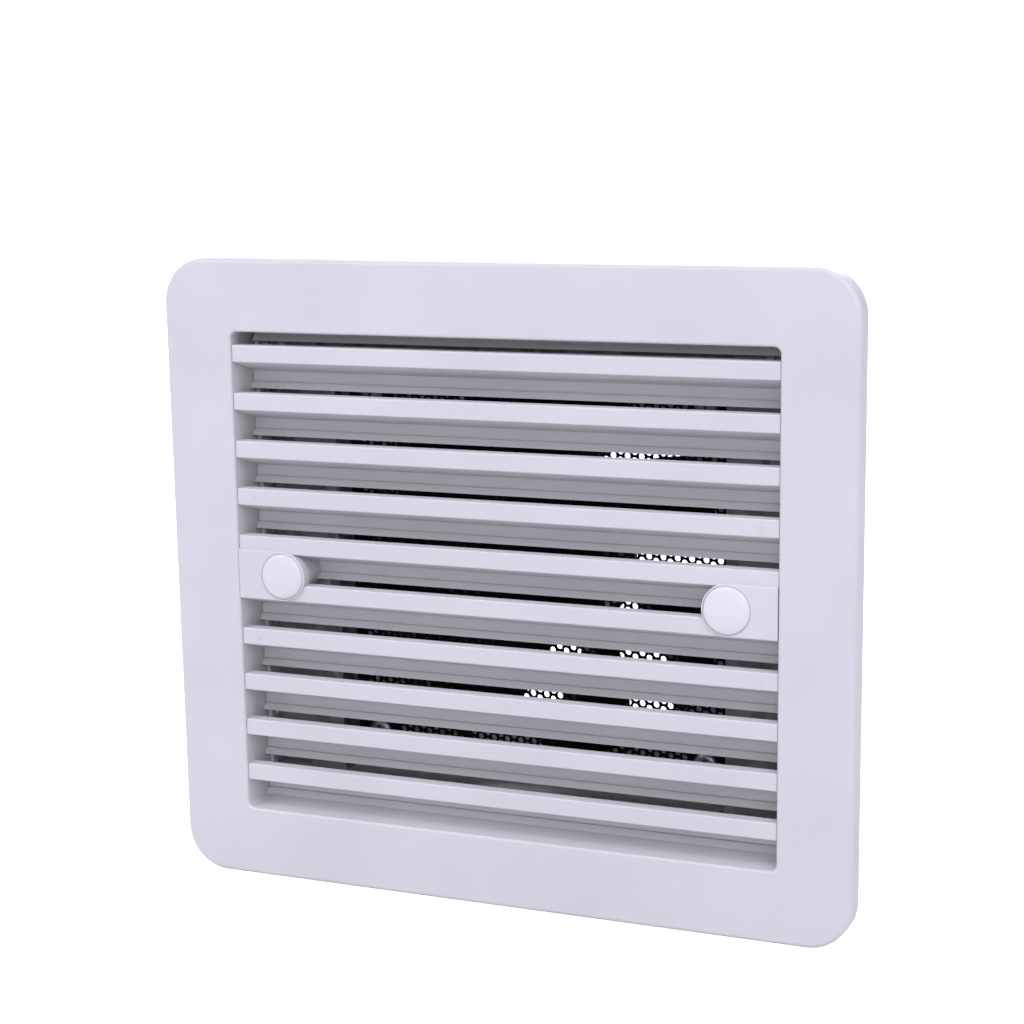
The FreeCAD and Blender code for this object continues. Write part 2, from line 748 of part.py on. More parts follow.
def screw_cap(label, side):
    """Domed snap-in cap: a crowned disc with a skirt that grips the post's bore."""
    x = S.cap_x * side
    seat = at_depth(S.cap_recess) - S.cap_gap
    rise = S.cap_rise
    crown_radius = (S.cap_radius * S.cap_radius + rise * rise) / (rise * 2)
    crown = DOC.addObject("Part::Sphere", f"{label}_crown")
    bind(crown, "Radius", crown_radius)
    crown.setExpression("Angle1", f"asin(1 - {rise.text} / {crown_radius.text})")
    crown.Placement = FreeCAD.Placement(FreeCAD.Vector(), FreeCAD.Rotation(FreeCAD.Vector(1, 0, 0), 90))
    move(crown, x, seat - S.cap_edge - rise + crown_radius, S.tab_z)
    disc = rod(f"{label}_disc", S.cap_radius, (seat - S.cap_edge, seat), x, S.tab_z)
    skirt = ring(f"{label}_skirt", S.cap_skirt_radius, S.cap_skirt_radius - S.cap_skirt_wall,
                 (seat - 0.2, at_depth(S.cap_skirt_end)), x, S.tab_z)
    keep(fuse(f"{label}_shape", [crown, disc, skirt]), label)


def screw_caps():
    screw_cap("screw_cap_left", -1)
    screw_cap("screw_cap_right", 1)


def insert_screws():
    """The two captive screws that hold the insert to the frame's lugs."""
    seat = at_depth(S.insert_head_front + S.insert_head_height)
    screws = []
    for name, side in (("left", -1), ("right", 1)):
        x = S.cap_x * side
        head = cross_head(f"insert_{name}", S.insert_head_radius, (at_depth(S.insert_head_front), seat), x, S.tab_z)
        shank = rod(f"insert_{name}_shank", S.insert_shank_radius, (seat - 0.2, seat + S.insert_shank_length),
                    x, S.tab_z)
        screws.append(fuse(f"insert_{name}_screw", [head, shank]))
    keep(group("insert_screw_pair", screws), "insert_screws")


# ---------------------------------------------------------------- pan and guard

def fan_pan():
    """Folded sheet pan that closes the sleeve and carries the fan on the floor of its well."""
    body = new_body("fan_pan_body")
    plate = front_sketch(body, "plate", at_depth(S.sleeve_depth + S.sheet))
    wall = S.sheet * 2
    add_rounded_rectangle(plate, S.opening_width + S.sleeve_wall * 2, S.opening_height + S.sleeve_wall * 2,
                          S.opening_corner + S.sleeve_wall)
    pad(body, plate, S.sheet)
    well = front_sketch(body, "well", at_depth(S.well_back))
    add_rounded_rectangle(well, S.well_width + wall, S.well_height + wall, S.well_corner + S.sheet)
    pad(body, well, S.well_back - S.sleeve_depth - S.sheet)
    inside = front_sketch(body, "well_inside", at_depth(S.sleeve_depth))
    add_rounded_rectangle(inside, S.well_width, S.well_height, S.well_corner)
    pocket(body, inside, S.well_back - S.sleeve_depth - S.sheet)
    air = front_sketch(body, "air_hole", at_depth(S.well_back - S.sheet))
    add_circle(air, 0.0, 0.0, S.air_radius)
    for x, z in corners(HOLE_OFFSET, HOLE_OFFSET):
        add_circle(air, x, z, S.fan_hole_radius)
    pocket(body, air, S.sheet + 0.5)
    edge = front_sketch(body, "edge_holes", at_depth(S.sleeve_depth))
    for x, z in corners(S.boss_x, S.boss_z):
        add_circle(edge, x, z, S.pan_screw_radius + 0.15)
    add_circle(edge, -S.terminal_x, S.terminal_z, S.terminal_fixing_radius + 0.1)
    pocket(body, edge, S.sheet + 0.5)
    keep(body, "fan_pan")


def pan_screws():
    """Four screws from behind, through the pan into the frame's corner bosses."""
    seat = at_depth(S.sleeve_depth + S.sheet)
    screws = []
    for index, (x, z) in enumerate(corners(S.boss_x, S.boss_z)):
        name = f"pan_screw_{index}"
        shank = rod(f"{name}_shank", S.pan_screw_radius, (seat - S.pan_screw_length, seat + 0.2), x, z)
        head = rod(f"{name}_rim", S.pan_head_radius, (seat, seat + S.pan_head_height * 0.6), x, z)
        crown = cone(f"{name}_crown", (S.pan_head_radius, S.pan_head_radius * 0.7),
                     (seat + S.pan_head_height * 0.6, seat + S.pan_head_height), x, z)
        sink = (seat + S.pan_head_height * 0.4, seat + S.pan_head_height + 0.1)
        bars = [box(f"{name}_bar_x", (x, S.pan_head_radius), sink, (z, S.pan_head_radius * 0.24)),
                box(f"{name}_bar_z", (x, S.pan_head_radius * 0.24), sink, (z, S.pan_head_radius))]
        screws.append(cut(f"{name}_shape", fuse(f"{name}_solid", [shank, head, crown]), *bars))
    keep(group("pan_screw_set", screws), "pan_screws")


def guard_mesh():
    """Perforated guard in front of the fan; its small holes are stood in for by larger ones."""
    body = new_body("guard_mesh_body")
    back = at_depth(S.well_back - S.sheet)
    sheet = front_sketch(body, "guard_sheet", back)
    add_rounded_rectangle(sheet, S.guard_width, S.guard_height, S.well_corner)
    for x, z in corners(HOLE_OFFSET, HOLE_OFFSET):
        add_circle(sheet, x, z, S.fan_hole_radius)
    pad(body, sheet, S.guard_thick)
    reach = S.guard_hole_pitch * 5
    first = front_sketch(body, "first_hole", back - S.guard_thick)
    add_circle(first, -reach, -reach, S.guard_hole_radius)
    hole = pocket(body, first, S.guard_thick + 0.5)
    grid = body.newObject("PartDesign::MultiTransform", "hole_grid")
    rows = []
    for name, role in (("columns", "X_Axis"), ("rows", "Z_Axis")):
        line = body.newObject("PartDesign::LinearPattern", f"hole_{name}")
        line.Direction = (origin_plane(body, role), [""])
        bind(line, "Length", reach * 2)
        line.Occurrences = 11
        rows.append(line)
    grid.Originals = [hole]
    grid.Transformations = rows
    body.Tip = grid
    keep(body, "guard_mesh")


# ---------------------------------------------------------------- fan housing and its fixings

def fan_housing():
    body = new_body("fan_housing_body")
    outline = front_sketch(body, "fan_outline", in_fan(S.fan_depth))
    add_rounded_rectangle(outline, S.fan_size, S.fan_size, S.fan_corner)
    pad(body, outline, S.fan_depth)
    waist = front_sketch(body, "fan_waist", in_fan(S.fan_flange))
    add_rounded_rectangle(waist, S.fan_size + 2.0, S.fan_size + 2.0, S.fan_corner)
    add_circle(waist, 0.0, 0.0, S.fan_shroud_radius)
    pocket(body, waist, S.fan_depth - S.fan_flange * 2)
    bore = front_sketch(body, "fan_bore", FAN_FRONT)
    add_circle(bore, 0.0, 0.0, S.fan_bore_radius)
    for x, z in corners(HOLE_OFFSET, HOLE_OFFSET):
        add_circle(bore, x, z, S.fan_hole_radius)
    pocket(body, bore, S.fan_depth + 1.0)
    base = front_sketch(body, "motor_base", in_fan(S.fan_depth))
    add_circle(base, 0.0, 0.0, S.motor_base_radius)
    pad(body, base, S.motor_base_thick)
    struts = front_sketch(body, "struts", in_fan(S.fan_depth))
    for index in range(4):
        add_strut(struts, number(S.strut_phase) + index * 90.0)
    pad(body, struts, S.strut_depth)
    socket = front_sketch(body, "tube_socket", in_fan(S.fan_depth - S.strut_depth))
    add_circle(socket, 0.0, 0.0, S.tube_radius)
    pocket(body, socket, S.tube_back - S.fan_depth + S.strut_depth)
    keep(body, "fan_housing")


def add_strut(sketch, angle):
    """One spoke from the motor base to the shroud."""
    cosine = math.cos(math.radians(angle))
    sine = math.sin(math.radians(angle))
    half = S.strut_width / 2
    inner = S.motor_base_radius - 1.0
    outer = S.fan_bore_radius + 0.8
    points = []
    for along, across in ((inner, -half), (outer, -half), (outer, half), (inner, half)):
        points.append((along * cosine - across * sine, along * sine + across * cosine))
    add_polygon(sketch, points)


def fan_screws():
    """Four long screws through the guard, the pan and both flanges of the fan."""
    seat = at_depth(S.well_back - S.sheet - S.guard_thick)
    screws = []
    for index, (x, z) in enumerate(corners(HOLE_OFFSET, HOLE_OFFSET)):
        name = f"fan_screw_{index}"
        head = cross_head(name, S.fan_head_radius, (seat - S.fan_head_height, seat), x, z)
        shank = rod(f"{name}_shank", S.fan_screw_radius, (seat - 0.2, seat + S.fan_screw_length), x, z)
        screws.append(fuse(f"{name}_shape", [head, shank]))
    keep(group("fan_screw_set", screws), "fan_screws")


def fan_washers():
    front = in_fan(S.fan_depth)
    inner = S.fan_screw_radius + 0.15
    washers = [ring(f"fan_washer_{index}", S.washer_radius, inner, (front, front + S.washer_thick), x, z)
               for index, (x, z) in enumerate(corners(HOLE_OFFSET, HOLE_OFFSET))]
    keep(group("fan_washer_set", washers), "fan_washers")


def fan_nuts():
    front = in_fan(S.fan_depth) + S.washer_thick
    nuts = []
    for index, (x, z) in enumerate(corners(HOLE_OFFSET, HOLE_OFFSET)):
        name = f"fan_nut_{index}"
        prism = DOC.addObject("Part::Prism", f"{name}_prism")
        prism.Polygon = 6
        bind(prism, "Circumradius", S.nut_flats / math.sqrt(3))
        bind(prism, "Height", S.nut_height)
        prism.Placement = FreeCAD.Placement(FreeCAD.Vector(), FreeCAD.Rotation(FreeCAD.Vector(1, 0, 0), -90))
        move(prism, x, front, z)
        hole = rod(f"{name}_hole", S.fan_screw_radius + 0.02, (front - 0.1, front + S.nut_height + 0.1), x, z)
        nuts.append(cut(f"{name}_shape", prism, hole))
    keep(group("fan_nut_set", nuts), "fan_nuts")


# ---------------------------------------------------------------- rotor

def blade_section(radius, span):
    """Closed section of a blade in the plane at a distance from the fan's axis."""
    half_span = span / 2
    swept = radius / math.cos(half_span) - number(S.sweep_radius)
    angle = math.radians(number(S.rotor_phase) - number(S.blade_sweep) * swept)
    along = FreeCAD.Vector(math.cos(angle), 0, math.sin(angle))
    across = FreeCAD.Vector(-math.sin(angle), 0, math.cos(angle))
    half_width = radius * math.tan(half_span)
    middle = number(in_fan((S.blade_front + S.blade_back) / 2))
    half_depth = number(S.blade_back - S.blade_front) / 2
    bulge = number(S.blade_bulge)
    sides = []
    for face in (-1, 1):
        points = []
        for step in range(-4, 5):
            part = step / 4
            thick = number(S.blade_thick) / 2 * (1 - 0.6 * part * part)
            y = middle + half_depth * part - bulge * (1 - part * part) + face * thick
            point = along * radius - across * (half_width * part)
            points.append(FreeCAD.Vector(point.x, y, point.z))
        sides.append(points)
    curves = []
    for points in sides:
        curve = Part.BSplineCurve()
        curve.interpolate(points)
        curves.append(curve.toShape())
    ends = [Part.makeLine(sides[0][index], sides[1][index]) for index in (-1, 0)]
    return Part.Wire([curves[0], ends[0], curves[1], ends[1]])


def impeller():
    """Seven swept blades about a hub."""
    span = math.radians(number(S.blade_span))
    outer = number(S.blade_tip_radius)
    inner = number(S.hub_radius) - 0.7
    radii = [inner - 2.5 + (outer + 3.5 - inner) * index / 4 for index in range(5)]
    blade = Part.makeLoft([blade_section(radius, span) for radius in radii], True, False)
    axis = FreeCAD.Vector(0, 1, 0)
    start = FreeCAD.Vector(0, number(FAN_FRONT), 0)
    depth = number(S.fan_depth)
    swept = Part.makeCylinder(outer, depth, start, axis).cut(Part.makeCylinder(inner, depth, start, axis))
    blade = blade.common(swept).Solids[0]
    blades = []
    for index in range(7):
        feature = DOC.addObject("Part::Feature", f"blade_{index}")
        feature.Shape = blade
        turn = FreeCAD.Rotation(FreeCAD.Vector(0, -1, 0), index * 360.0 / 7)
        feature.Placement = FreeCAD.Placement(FreeCAD.Vector(), turn)
        blades.append(feature)
    front = in_fan(S.hub_front)
    shell = rod("hub_shell", S.hub_radius, (front + 1.2, in_fan(S.hub_back)))
    nose = cone("hub_nose", (S.hub_radius - 1.2, S.hub_radius), (front, front + 1.2))
    hollow = rod("hub_hollow", S.hub_radius - S.hub_wall, (front + S.hub_top, in_fan(S.hub_back) + 0.1))
    hub = cut("hub", fuse("hub_solid", [shell, nose]), hollow)
    whole = fuse("impeller_shape", [hub, *blades])
    whole.Refine = False
    keep(whole, "impeller")


def rotor_motor():
    """Steel cup, ring magnet, shaft and retaining clip that turn with the impeller."""
    top = in_fan(S.hub_front + S.hub_top)
    cup = rod("cup_solid", S.cup_radius, (top, in_fan(S.cup_back)))
    inside = rod("cup_inside", S.cup_radius - S.cup_wall, (top + S.cup_wall, in_fan(S.cup_back) + 0.1))
    bore = rod("cup_bore", S.shaft_radius, (top - 0.1, top + S.cup_wall + 0.1))
    keep(cut("rotor_cup_shape", cup, inside, bore), "rotor_cup")
    keep(ring("rotor_magnet_shape", S.cup_radius - S.cup_wall, S.magnet_inner,
              (in_fan(S.magnet_front), in_fan(S.magnet_back))), "rotor_magnet")
    keep(rod("rotor_shaft_shape", S.shaft_radius, (top, in_fan(S.shaft_back))), "rotor_shaft")
    clip = ring("clip_ring", S.clip_radius, S.shaft_radius,
                (in_fan(S.clip_front), in_fan(S.clip_front + S.clip_thick)))
    gap = box("clip_gap", (0.0, S.shaft_radius * 1.4),
              (in_fan(S.clip_front) - 0.1, in_fan(S.clip_front + S.clip_thick) + 0.1),
              (0.0, S.clip_radius + 0.5), centred_z=False)
    keep(cut("shaft_clip_shape", clip, gap), "shaft_clip")


# ---------------------------------------------------------------- stator

def bearing(label, front):
    """A small ball bearing drawn as one ring with a groove in each face for its shields."""
    start = in_fan(front)
    end = start + S.bearing_length
    body = ring(f"{label}_ring", S.bearing_radius, S.bearing_bore, (start, end))
    grooves = [ring(f"{label}_groove_{index}", S.bearing_radius - 0.8, S.bearing_bore + 0.7, pair)
               for index, pair in enumerate([(start - 0.1, start + 0.3), (end - 0.3, end + 0.1)])]
    keep(cut(f"{label}_shape", body, *grooves), label)


def preload_spring():
    """Coil spring in the tube between the two bearings."""
    start = in_fan(S.front_bearing) + S.bearing_length + S.spring_wire
    end = in_fan(S.rear_bearing) - S.spring_wire
    radius = number(S.spring_radius)
    height = number(end - start)
    helix = Part.makeHelix(height / number(S.spring_turns), height, radius)
    section = Part.Wire([Part.makeCircle(number(S.spring_wire), FreeCAD.Vector(radius, 0, 0),
                                         FreeCAD.Vector(0, 1, 0))])
    spring = DOC.addObject("Part::Feature", "spring_coil")
    spring.Shape = Part.Wire(helix).makePipeShell([section], True, True)
    spring.Placement = FreeCAD.Placement(FreeCAD.Vector(), FreeCAD.Rotation(FreeCAD.Vector(1, 0, 0), -90))
    move(spring, 0.0, start, 0.0)
    keep(spring, "preload_spring")


def stator_core():
    """Laminated stack with four poles."""
    y = (in_fan(S.stack_front), in_fan(S.stack_back))
    centre = ring("core_centre", S.core_radius, S.tube_radius, y)
    arms = [turned_box(f"core_arm_{index}", (S.core_radius - 0.6, S.pole_inner + 0.6), S.arm_width, y, index * 90.0)
            for index in range(4)]
    shoes = ring("core_shoes", S.pole_radius, S.pole_inner, y)
    slots = [turned_box(f"core_slot_{index}", (S.pole_inner - 2.0, S.pole_radius + 1.0), S.arm_width * 0.8, y,
                        45.0 + index * 90.0) for index in range(4)]
    keep(fuse("stator_core_shape", [centre, cut("core_poles", shoes, *slots), *arms]), "stator_core")


def stator_bobbin():
    """Moulded insulator on both faces of the stack."""
    plates = []
    levels = [("front", in_fan(S.stack_front) - S.bobbin_thick), ("back", in_fan(S.stack_back))]
    for name, low in levels:
        y = (low, low + S.bobbin_thick)
        centre = ring(f"bobbin_{name}_centre", S.coil_inner, S.tube_radius, y)
        arms = [turned_box(f"bobbin_{name}_arm_{index}", (S.coil_inner - 1.0, S.pole_radius - 0.3), S.bobbin_width,
                           y, index * 90.0) for index in range(4)]
        plates.append(fuse(f"bobbin_{name}", [centre, *arms]))
    keep(group("stator_bobbin_shape", plates), "stator_bobbin")


def stator_coils():
    """Four windings, each round one arm and its insulators."""
    inner = (in_fan(S.stack_front) - S.bobbin_thick, in_fan(S.stack_back) + S.bobbin_thick)
    outer = (inner[0] - S.coil_end, inner[1] + S.coil_end)
    coils = []
    for index in range(4):
        angle = index * 90.0
        block = turned_box(f"coil_{index}_block", (S.coil_inner, S.coil_outer), S.bobbin_width + S.coil_side * 2,
                           outer, angle)
        hole = turned_box(f"coil_{index}_hole", (S.coil_inner - 1.0, S.coil_outer + 1.0), S.bobbin_width,
                          inner, angle)
        coils.append(cut(f"coil_{index}", block, hole))
    keep(group("stator_coils_shape", coils), "stator_coils")


def motor_board():
    """Round circuit board on the motor base, and the sensor on it that reads the magnet."""
    back = in_fan(S.fan_depth - S.motor_base_thick)
    front = back - S.board_thick
    board = ring("board_ring", S.board_radius, S.tube_radius + 0.3, (front, back))
    struts_room = [turned_box(f"board_room_{index}", (S.board_radius - 1.5, S.board_radius + 1.0),
                              S.strut_width + 1.0, (front - 0.1, back + 0.1), number(S.strut_phase) + index * 90.0)
                   for index in range(4)]
    keep(cut("circuit_board_shape", board, *struts_room), "circuit_board")
    keep(box("hall_sensor_shape", (S.sensor_radius, S.sensor_length), (in_fan(S.magnet_back) + 0.3, front),
             (0.0, S.sensor_width)), "hall_sensor")


def stator_rest():
    keep(ring("bearing_tube_shape", S.tube_radius, S.bearing_radius, (in_fan(S.tube_front), in_fan(S.tube_back))),
         "bearing_tube")
    bearing("front_bearing", S.front_bearing)
    bearing("rear_bearing", S.rear_bearing)
    back = in_fan(S.fan_depth)
    keep(rod("motor_label_shape", S.label_radius, (back, back + S.label_thick)), "motor_label")


# ---------------------------------------------------------------- terminal block

def terminal_block():
    """Two-way block on the back of the pan, where the supply cord is connected."""
    x = -S.terminal_x
    front = at_depth(S.sleeve_depth + S.sheet)
    back = front + S.terminal_depth
    body = box("terminal_body", (x, S.terminal_width), (front, back), (S.terminal_z, S.terminal_height))
    tools = []
    for name, side in (("lower", -1), ("upper", 1)):
        z = S.terminal_z + S.terminal_pitch / 2 * side
        wire = DOC.addObject("Part::Cylinder", f"terminal_wire_{name}")
        bind(wire, "Radius", S.terminal_wire_radius)
        bind(wire, "Height", S.terminal_width + 2.0)
        wire.Placement = FreeCAD.Placement(FreeCAD.Vector(), FreeCAD.Rotation(FreeCAD.Vector(0, 1, 0), 90))
        move(wire, x - S.terminal_width / 2 - 1.0, front + S.terminal_depth * 0.35, z)
        tools.append(wire)
        tools.append(rod(f"terminal_well_{name}", S.terminal_well_radius,
                         (front + S.terminal_depth * 0.35, back + 0.1), x, z))
    tools.append(rod("terminal_fixing_hole", S.terminal_fixing_radius + 0.1, (front - 0.1, back + 0.1),
                     x, S.terminal_z))
    tools.append(rod("terminal_fixing_sink", S.terminal_fixing_radius + 1.3,
                     (front + S.terminal_depth * 0.5, back + 0.1), x, S.terminal_z))
    keep(cut("terminal_block_shape", body, *tools), "terminal_block")


def slotted_screw(name, head_radius, shank_radius, y, x, z):
    """A screw driven from behind; y is (tip, underside of the head, back of the head)."""
    head = rod(f"{name}_head", head_radius, (y[1], y[2]), x, z)
    shank = rod(f"{name}_shank", shank_radius, (y[0], y[1] + 0.1), x, z)
    slot = box(f"{name}_slot", (x, head_radius * 2.2), (y[2] - 0.7, y[2] + 0.1), (z, 0.8))
    return cut(f"{name}_shape", fuse(f"{name}_solid", [head, shank]), slot)


def terminal_screws():
    """Two clamping screws in their wells, and the screw that fixes the block to the pan."""
    x = -S.terminal_x
    front = at_depth(S.sleeve_depth + S.sheet)
    wire = front + S.terminal_depth * 0.35
    screws = []
    for name, side in (("lower", -1), ("upper", 1)):
        z = S.terminal_z + S.terminal_pitch / 2 * side
        levels = (wire - 0.5, front + S.terminal_depth * 0.6, front + S.terminal_depth * 0.8)
        screws.append(slotted_screw(f"terminal_screw_{name}", S.terminal_screw_radius, S.terminal_wire_radius - 0.2,
                                    levels, x, z))
    keep(group("terminal_screw_pair", screws), "terminal_screws")
    levels = (front - S.sheet - 2.0, front + S.terminal_depth * 0.5, front + S.terminal_depth * 0.5 + 1.6)
    keep(slotted_screw("terminal_fixing", S.terminal_fixing_radius + 1.2, S.terminal_fixing_radius, levels, x,
                       S.terminal_z), "terminal_fixing_screw")


# ---------------------------------------------------------------- build, check, write

def check_and_write():
    DOC.recompute()
    for obj in DOC.Objects:
        if "Invalid" in obj.State or "Error" in obj.State:
            raise RuntimeError(f"{obj.Name} does not compute: {obj.State}")
    os.makedirs("parts", exist_ok=True)
    for obj in PARTS:
        shape = obj.Shape
        if shape.isNull() or not shape.isValid() or not shape.Solids:
            raise RuntimeError(f"{obj.Label} has no valid shape")
        shape.exportStep(f"parts/{obj.Label}.step")
        box_ = shape.BoundBox
        print(f"{obj.Label:22s} solids {len(shape.Solids):3d}  volume {shape.Volume:10.1f}  "
              f"X {box_.XMin:7.2f} {box_.XMax:7.2f}  Y {box_.YMin:7.2f} {box_.YMax:7.2f}  "
              f"Z {box_.ZMin:7.2f} {box_.ZMax:7.2f}")


front_frame()
frame_gasket()
louvre_insert()
screw_caps()
insert_screws()
fan_pan()
pan_screws()
guard_mesh()
fan_housing()
fan_screws()
fan_washers()
fan_nuts()
impeller()
rotor_motor()
stator_rest()
preload_spring()
stator_core()
stator_bobbin()
stator_coils()
motor_board()
terminal_block()
terminal_screws()
check_and_write()
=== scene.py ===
"""Looks of the louvred wall vent: materials, fine pieces, floor, light and camera."""
import json
import math

import bmesh
import bpy
from mathutils import Euler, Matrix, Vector


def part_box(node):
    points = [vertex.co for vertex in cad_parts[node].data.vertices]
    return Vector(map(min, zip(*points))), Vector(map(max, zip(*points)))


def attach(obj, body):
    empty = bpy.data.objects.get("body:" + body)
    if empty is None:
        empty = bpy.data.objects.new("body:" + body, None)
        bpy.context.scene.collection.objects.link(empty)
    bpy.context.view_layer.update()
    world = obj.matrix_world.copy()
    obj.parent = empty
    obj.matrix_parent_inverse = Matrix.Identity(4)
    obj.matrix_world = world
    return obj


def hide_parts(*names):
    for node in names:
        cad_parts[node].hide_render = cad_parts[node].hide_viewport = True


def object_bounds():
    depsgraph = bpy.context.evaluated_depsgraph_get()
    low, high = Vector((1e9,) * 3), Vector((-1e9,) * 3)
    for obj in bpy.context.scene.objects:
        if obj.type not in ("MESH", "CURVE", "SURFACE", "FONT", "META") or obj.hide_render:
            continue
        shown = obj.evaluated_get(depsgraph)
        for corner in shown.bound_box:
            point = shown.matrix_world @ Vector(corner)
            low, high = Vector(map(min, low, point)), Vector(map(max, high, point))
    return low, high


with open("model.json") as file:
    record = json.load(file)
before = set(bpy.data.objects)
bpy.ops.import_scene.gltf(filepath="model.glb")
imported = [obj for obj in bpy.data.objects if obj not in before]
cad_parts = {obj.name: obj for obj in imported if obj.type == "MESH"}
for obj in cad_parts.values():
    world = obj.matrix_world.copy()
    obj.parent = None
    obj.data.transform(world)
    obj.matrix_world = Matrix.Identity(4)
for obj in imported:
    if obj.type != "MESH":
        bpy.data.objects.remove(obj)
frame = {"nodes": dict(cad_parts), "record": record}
CAD_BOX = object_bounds()
NODES = frame["nodes"]
MM = 0.001

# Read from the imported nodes, in metres
GUARD_LOW, GUARD_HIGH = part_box("guard_mesh")
CAP_LOW, CAP_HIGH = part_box("screw_cap_right")
FLOOR_Z = CAD_BOX[0][2]

# Screw places as (x, z), in metres
FAN_SCREW = 52.5 * MM
PAN_SCREW_X, PAN_SCREW_Z = 78.0 * MM, 66.7 * MM
CAP_X, CAP_Z = (CAP_LOW.x + CAP_HIGH.x) / 2, (CAP_LOW.z + CAP_HIGH.z) / 2
FAN_PLACES = [(x * FAN_SCREW, z * FAN_SCREW) for x in (-1, 1) for z in (-1, 1)]
PAN_PLACES = [(x * PAN_SCREW_X, z * PAN_SCREW_Z) for x in (-1, 1) for z in (-1, 1)]
CAP_PLACES = [(-CAP_X, CAP_Z), (CAP_X, CAP_Z)]

# Node, body, places, whether the heads face forwards, then head height, crest radius and pitch in mm
SCREW_SETS = [
    ("fan_screws", "frame", FAN_PLACES, True, 2.6, 1.98, 0.7),
    ("pan_screws", "frame", PAN_PLACES, False, 2.2, 1.73, 0.8),
    ("insert_screws", "louvre", CAP_PLACES, True, 2.4, 1.93, 0.8),
]


# ------------------------------------------------------------------ materials

def node_at(tree, kind, **values):
    """Add a node and set its inputs by name, or its properties where no input has that name."""
    node = tree.nodes.new(kind)
    for name, value in values.items():
        label = name.replace("_", " ")
        if label in node.inputs:
            node.inputs[label].default_value = value
        else:
            setattr(node, name, value)
    return node


def base_material(name, roughness, metallic=0.0, **extras):
    """A material with its shader, plus the object coordinates that every texture uses."""
    material = bpy.data.materials.new(name)
    material.use_nodes = True
    tree = material.node_tree
    shader = tree.nodes["Principled BSDF"]
    shader.inputs["Roughness"].default_value = roughness
    shader.inputs["Metallic"].default_value = metallic
    for label, value in extras.items():
        shader.inputs[label.replace("_", " ")].default_value = value
    coords = tree.nodes.new("ShaderNodeTexCoord").outputs["Object"]
    return material, tree, shader, coords


def noise(tree, coords, size_mm, detail=3.0, roughness=0.55, stretch=None):
    """Noise whose features are about size_mm across; stretch scales the coordinates first."""
    if stretch:
        mapping = node_at(tree, "ShaderNodeMapping", Scale=stretch)
        tree.links.new(coords, mapping.inputs["Vector"])
        coords = mapping.outputs["Vector"]
    texture = node_at(tree, "ShaderNodeTexNoise", Scale=1.0 / (size_mm * MM), Detail=detail,
                      Roughness=roughness)
    tree.links.new(coords, texture.inputs["Vector"])
    return texture.outputs["Fac"]


def ramp(tree, factor, stops):
    """A colour ramp from (position, grey or colour) stops."""
    node = tree.nodes.new("ShaderNodeValToRGB")
    elements = node.color_ramp.elements
    while len(elements) < len(stops):
        elements.new(0.5)
    for element, (position, colour) in zip(elements, stops):
        element.position = position
        element.color = (*colour, 1.0) if isinstance(colour, tuple) else (colour, colour, colour, 1.0)
    tree.links.new(factor, node.inputs["Fac"])
    return node.outputs["Color"]


def spread(tree, factor, low, high):
    """Map the middle of a factor's range, where a noise mostly stays, to a range of numbers."""
    node = node_at(tree, "ShaderNodeMapRange", From_Min=0.3, From_Max=0.7, To_Min=low, To_Max=high)
    tree.links.new(factor, node.inputs["Value"])
    return node.outputs["Result"]


def blend(tree, factor, first, second):
    """Mix two colours by a factor; the second is a colour or another node's output."""
    node = node_at(tree, "ShaderNodeMix", data_type="RGBA", blend_type="MIX")
    first_colour, second_colour = [socket for socket in node.inputs if socket.type == "RGBA"]
    tree.links.new(factor, node.inputs["Factor"])
    tree.links.new(first, first_colour)
    if isinstance(second, tuple):
        second_colour.default_value = (*second, 1.0)
    else:
        tree.links.new(second, second_colour)
    return next(socket for socket in node.outputs if socket.type == "RGBA")


def add_bump(tree, shader, heights):
    """Chain bumps from (height, depth in mm, strength) onto the shader's normal."""
    normal = None
    for height, depth_mm, strength in heights:
        bump = node_at(tree, "ShaderNodeBump", Strength=strength, Distance=depth_mm * MM)
        tree.links.new(height, bump.inputs["Height"])
        if normal:
            tree.links.new(normal, bump.inputs["Normal"])
        normal = bump.outputs["Normal"]
    tree.links.new(normal, shader.inputs["Normal"])


def tint(colour, factor):
    """A colour made lighter or darker."""
    return tuple(min(1.0, channel * factor) for channel in colour)


def moulded(name, colour, roughness, grain_mm=0.35, drift=0.03, specks=0.0, **extras):
    """Injection-moulded plastic: fine spark-eroded grain, slow shade drift, a little flow marking."""
    material, tree, shader, coords = base_material(name, roughness, **extras)
    broad = noise(tree, coords, 45.0, detail=2.0)
    fine = noise(tree, coords, grain_mm, detail=2.0)
    waves = noise(tree, coords, 14.0, detail=1.0)
    shade = ramp(tree, broad, [(0.3, tint(colour, 1 - drift)), (0.7, tint(colour, 1 + drift))])
    if specks:
        dust = noise(tree, coords, 1.6, detail=4.0, roughness=0.75)
        mask = ramp(tree, dust, [(0.70, 0.0), (0.76, specks)])
        shade = blend(tree, mask, shade, tint(colour, 0.45))
    tree.links.new(shade, shader.inputs["Base Color"])
    tree.links.new(spread(tree, fine, roughness - 0.05, roughness + 0.05), shader.inputs["Roughness"])
    add_bump(tree, shader, [(waves, 0.05, 0.25), (fine, 0.012, 0.6)])
    return material


